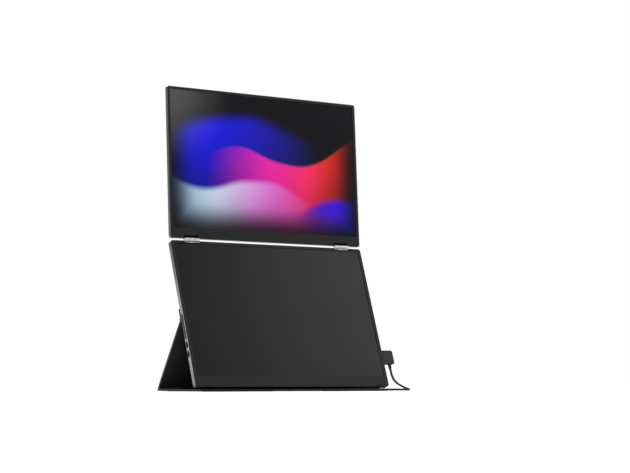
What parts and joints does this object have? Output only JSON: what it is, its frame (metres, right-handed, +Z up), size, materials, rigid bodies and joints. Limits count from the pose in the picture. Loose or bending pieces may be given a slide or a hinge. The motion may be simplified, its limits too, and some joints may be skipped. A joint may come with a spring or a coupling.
{
  "type": "laptop screen extender",
  "caption": "Folding screen extender: a thin upper display hinged to a lower panel with side controls and sockets, on a folding rear stand, with a plug-in cable.",
  "frame": {"origin": "on the table, at the middle of the object's footprint without its cable", "axes": "+X to the viewer's right, +Y away from the viewer, +Z up"},
  "size_m": [0.4221, 0.216, 0.4702],
  "materials": {
    "shell_aluminium": "bead-blasted anodised dark grey",
    "bezel_plastic": "fine matte black",
    "display_screen": "semi-gloss anti-glare screen surface",
    "deck_screen": "semi-gloss anti-glare screen surface, switched off",
    "optical_film": "white translucent film",
    "light_guide_acrylic": "clear acrylic sheet",
    "led_white": "white packages on a white strip",
    "circuit_board": "green solder mask",
    "ribbon_polyimide": "amber film",
    "hinge_steel": "satin steel",
    "screw_steel": "zinc plated",
    "mid_frame_steel": "rolled steel sheet",
    "bumper_rubber": "matte black rubber",
    "socket_steel": "nickel plated",
    "switch_plastic": "black with a steel cap",
    "speaker_plastic": "black moulded box",
    "button_plastic": "matte dark grey",
    "tape": "black foam tape",
    "stand_black": "fine-grained near-black skin",
    "stand_pin_steel": "blackened steel",
    "plug_plastic": "matte black moulding",
    "plug_metal": "nickel plated",
    "relief_rubber": "black soft moulding",
    "cable_jacket": "black satin jacket",
    "tie_fabric": "black hook-and-loop band"
  },
  "bodies": {
    "deck": {"deck_back_shell": "shell_aluminium", "deck_bottom_cap": "shell_aluminium", "deck_bezel": "bezel_plastic", "deck_lcd_cell": "deck_screen", "deck_film_stack": "optical_film", "deck_light_guide": "light_guide_acrylic", "deck_reflector": "optical_film", "deck_led_strip": "led_white", "deck_driver_board": "circuit_board", "deck_mid_frame": "mid_frame_steel", "deck_bumpers": "bumper_rubber", "main_board": "circuit_board", "port_board": "circuit_board", "port_ribbon": "ribbon_polyimide", "board_screws": "screw_steel", "usb_c_socket_left_lower": "socket_steel", "usb_c_socket_left_upper": "socket_steel", "usb_c_socket_right": "socket_steel", "key_board": "circuit_board", "key_switches": "switch_plastic", "speaker_left": "speaker_plastic", "speaker_right": "speaker_plastic", "hinge_bracket_lower_left": "hinge_steel", "hinge_bracket_lower_right": "hinge_steel", "hinge_pin_left": "hinge_steel", "hinge_pin_right": "hinge_steel", "hinge_screws_lower": "screw_steel", "leaf_tape": "tape", "stand_leaf": "stand_black", "leaf_hinge_pin": "stand_pin_steel", "plug_body": "plug_plastic", "plug_tip": "plug_metal", "plug_strain_relief": "relief_rubber", "cable_free_run": "cable_jacket", "cable_coil": "cable_jacket", "cable_tie": "tie_fabric", "far_plug_body": "plug_plastic", "far_plug_tip": "plug_metal"},
    "display": {"display_back_shell": "shell_aluminium", "display_bezel": "bezel_plastic", "display_lcd_cell": "display_screen", "display_film_stack": "optical_film", "display_light_guide": "light_guide_acrylic", "display_reflector": "optical_film", "display_led_strip": "led_white", "display_driver_board": "circuit_board", "display_signal_ribbon": "ribbon_polyimide", "hinge_bracket_upper_left": "hinge_steel", "hinge_bracket_upper_right": "hinge_steel", "hinge_screws_upper": "screw_steel"},
    "leg": {"stand_leg": "stand_black", "rear_hinge_pin": "stand_pin_steel"},
    "base": {"stand_base": "stand_black", "base_pads": "bumper_rubber", "rest_strip": "bumper_rubber"},
    "power_button": {"button_power": "button_plastic"},
    "plus_button": {"button_plus": "button_plastic"},
    "minus_button": {"button_minus": "button_plastic"}
  },
  "joints": [
    {"name": "display_hinge", "type": "hinge", "parent": "deck", "child": "display", "pos_m": [0, 0.02717, 0.23199], "axis": [1, 0, 0], "range_deg": [-16.25, 163.75]},
    {"name": "leg_hinge", "type": "hinge", "parent": "deck", "child": "leg", "pos_m": [0, -0.00372, 0.10813], "axis": [1, 0, 0], "range_deg": [0, 127.08]},
    {"name": "base_hinge", "type": "hinge", "parent": "leg", "child": "base", "pos_m": [0, 0.06079, 0.00365], "axis": [1, 0, 0], "range_deg": [-56.7, 0]},
    {"name": "button_power_press", "type": "slide", "parent": "deck", "child": "power_button", "axis": [1, 0, 0], "range_m": [0, 0.0004], "stiffness_N_per_m": 400},
    {"name": "button_plus_press", "type": "slide", "parent": "deck", "child": "plus_button", "axis": [1, 0, 0], "range_m": [0, 0.0004], "stiffness_N_per_m": 400},
    {"name": "button_minus_press", "type": "slide", "parent": "deck", "child": "minus_button", "axis": [1, 0, 0], "range_m": [0, 0.0004], "stiffness_N_per_m": 400}
  ],
  "couplings": [
    {"joint": "base_hinge", "follows": "leg_hinge", "ratio": -0.446}
  ]
}
